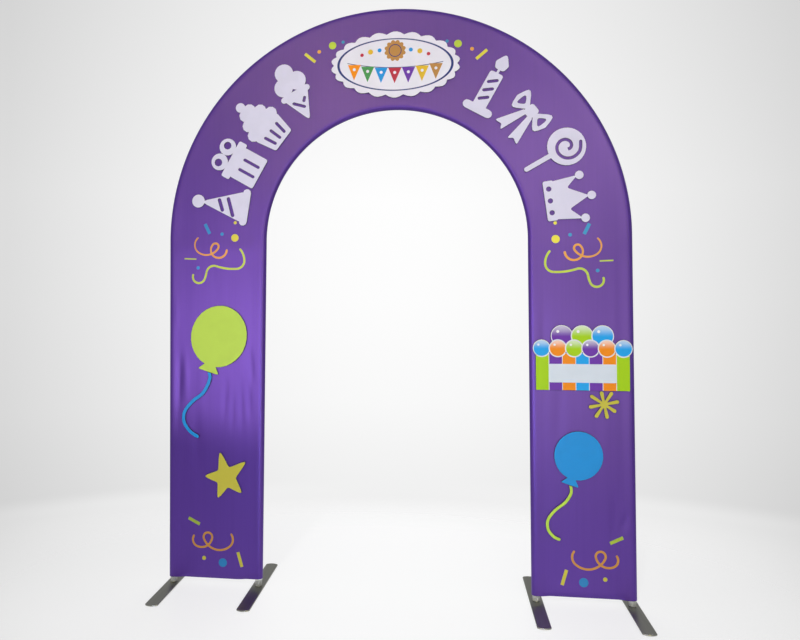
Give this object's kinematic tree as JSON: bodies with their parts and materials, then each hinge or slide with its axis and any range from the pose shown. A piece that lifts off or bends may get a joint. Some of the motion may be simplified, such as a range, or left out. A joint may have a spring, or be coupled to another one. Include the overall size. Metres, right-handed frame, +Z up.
{
  "type": "stretch fabric advertising arch on a tube frame",
  "caption": "Walk-through party arch: a stretch fabric sleeve over a tubular hoop frame, with raised board cut-outs on its face, standing on flat bar feet.",
  "frame": {"origin": "on the floor, at the middle of the part's box: halfway between the outer feet's outer edges and halfway between the feet's front and back ends", "axes": "+Z up; the face with the raised boards looks along -Y; +X to the right of someone facing that side; the walk-through runs along Y"},
  "size_m": [1.8392, 0.44, 2.309],
  "materials": {
    "cover_cloth": "satin stretch knit",
    "frame_tube": "satin",
    "spigot_steel": "polished",
    "foot_steel": "satin dark",
    "lavender_board": "satin",
    "white_board": "gloss",
    "lime_board": "satin",
    "blue_board": "satin",
    "yellow_board": "satin"
  },
  "bodies": {
    "root": {"cover": "cover_cloth", "outer_leg_left": "frame_tube", "outer_leg_right": "frame_tube", "inner_leg_left": "frame_tube", "inner_leg_right": "frame_tube", "outer_arc_1": "frame_tube", "outer_arc_2": "frame_tube", "outer_arc_3": "frame_tube", "inner_arc_1": "frame_tube", "inner_arc_2": "frame_tube", "bottom_rail_left": "frame_tube", "bottom_rail_right": "frame_tube", "spring_bar_left": "frame_tube", "spring_bar_right": "frame_tube", "outer_spigot_left": "spigot_steel", "outer_spigot_right": "spigot_steel", "inner_spigot_left": "spigot_steel", "inner_spigot_right": "spigot_steel", "outer_foot_left": "foot_steel", "outer_foot_right": "foot_steel", "inner_foot_left": "foot_steel", "inner_foot_right": "foot_steel", "motif_party_hat": "lavender_board", "motif_gift_box": "lavender_board", "motif_cupcake": "lavender_board", "motif_ice_cream": "lavender_board", "motif_candle": "lavender_board", "motif_bow": "lavender_board", "motif_lollipop": "lavender_board", "motif_crown": "lavender_board", "header_plaque": "white_board", "name_card": "white_board", "party_board": "lime_board", "balloon_left": "lime_board", "balloon_right_string": "lime_board", "balloon_right": "blue_board", "balloon_left_string": "blue_board", "star": "yellow_board", "flower": "yellow_board"}
  },
  "joints": []
}
